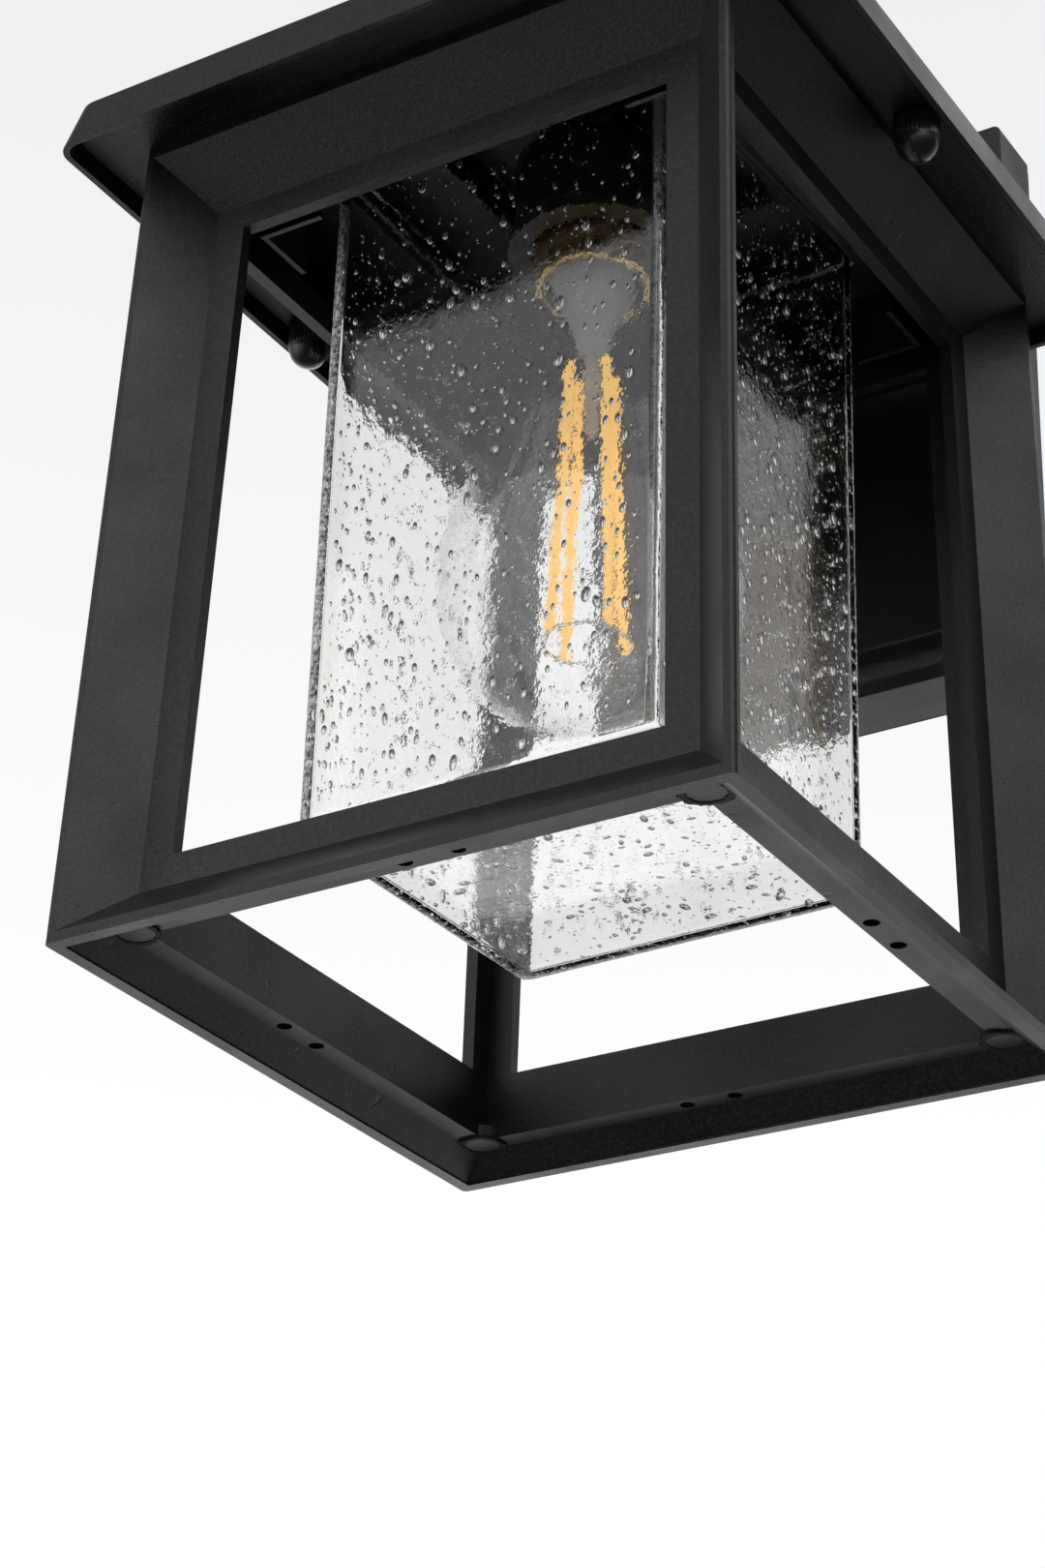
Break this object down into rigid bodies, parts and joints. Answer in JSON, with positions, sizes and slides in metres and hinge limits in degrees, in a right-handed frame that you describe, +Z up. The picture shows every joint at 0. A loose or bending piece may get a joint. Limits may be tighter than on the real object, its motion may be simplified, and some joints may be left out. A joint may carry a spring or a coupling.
{
  "type": "outdoor wall lantern",
  "caption": "Square black outdoor wall lantern: seeded glass box in an open tapered frame, hung under a square roof from a box arm on a rectangular wall plate.",
  "frame": {"origin": "middle of the mounting bracket's back face, on the wall plane", "axes": "+Z up, -Y out from the wall towards the lantern, +X to the right for someone who faces the wall"},
  "size_m": [0.1714, 0.2007, 0.2654],
  "materials": {
    "black_coat": "fine-sand textured powder coat, satin black",
    "black_steel": "black steel, knurled or pan headed",
    "zinc_steel": "zinc plated steel",
    "green_steel": "green grounding screw",
    "gasket_foam": "closed-cell black foam",
    "clear_silicone": "translucent silicone",
    "seeded_glass": "clear seeded glass with bubbles and a wavy surface",
    "lamp_glass": "thin clear blown glass",
    "lamp_glass_foot": "clear glass foot, slightly milky",
    "lamp_brass": "thin rolled brass lamp cap",
    "brass_plain": "plain turned brass",
    "holder_black": "moulded heat-proof black plastic",
    "black_glass": "black glass insulator",
    "solder": "dull solder",
    "lead_wire": "fine drawn metal wire",
    "filament_amber": "amber phosphor coating on slim sticks",
    "wire_black": "black insulation",
    "wire_white": "white insulation",
    "connector_orange": "moulded orange plastic"
  },
  "bodies": {
    "fixture": {"wall_gasket": "gasket_foam", "wall_plate": "black_coat", "mounting_bracket": "zinc_steel", "plate_screws": "black_steel", "ground_screw": "green_steel", "arm": "black_coat", "arm_end_cap": "black_coat", "arm_screws": "zinc_steel", "roof": "black_coat", "threaded_nipple": "zinc_steel", "nipple_washer": "zinc_steel", "lock_nut": "zinc_steel", "lampholder_bushing": "brass_plain", "lampholder_body": "holder_black", "screw_shell": "brass_plain", "lampholder_contact": "brass_plain", "live_wire": "wire_black", "neutral_wire": "wire_white", "wire_connectors": "connector_orange", "cage_studs": "black_steel"},
    "cage": {"cage": "black_coat", "glass_gasket": "clear_silicone", "glass_box": "seeded_glass"},
    "thumb_nut_left": {"thumb_nut_left": "black_steel"},
    "thumb_nut_right": {"thumb_nut_right": "black_steel"},
    "bulb_tip": {"bulb_tip": "solder"},
    "bulb": {"bulb_insulator": "black_glass", "bulb_cap": "lamp_brass", "bulb_envelope": "lamp_glass", "bulb_stem": "lamp_glass_foot", "bulb_leads": "lead_wire", "bulb_filaments": "filament_amber"}
  },
  "joints": [
    {"name": "cage_drop", "type": "slide", "parent": "fixture", "child": "cage", "axis": [0, 0, -1], "range_m": [0, 0.14]},
    {"name": "thumb_nut_left_turn", "type": "hinge", "parent": "cage", "child": "thumb_nut_left", "pos_m": [-0.078, -0.115, 0], "axis": [0, 0, 1], "continuous": true},
    {"name": "thumb_nut_right_turn", "type": "hinge", "parent": "cage", "child": "thumb_nut_right", "pos_m": [0.078, -0.115, 0], "axis": [0, 0, 1], "continuous": true},
    {"name": "bulb_drop", "type": "slide", "parent": "fixture", "child": "bulb_tip", "axis": [0, 0, -1], "range_m": [0, 0.0164]},
    {"name": "bulb_turn", "type": "hinge", "parent": "bulb_tip", "child": "bulb", "pos_m": [0, -0.115, 0], "axis": [0, 0, -1], "range_deg": [0, 1620]}
  ],
  "couplings": [
    {"joint": "bulb_drop", "follows": "bulb_turn", "m_per_rad": 0.00057773}
  ]
}
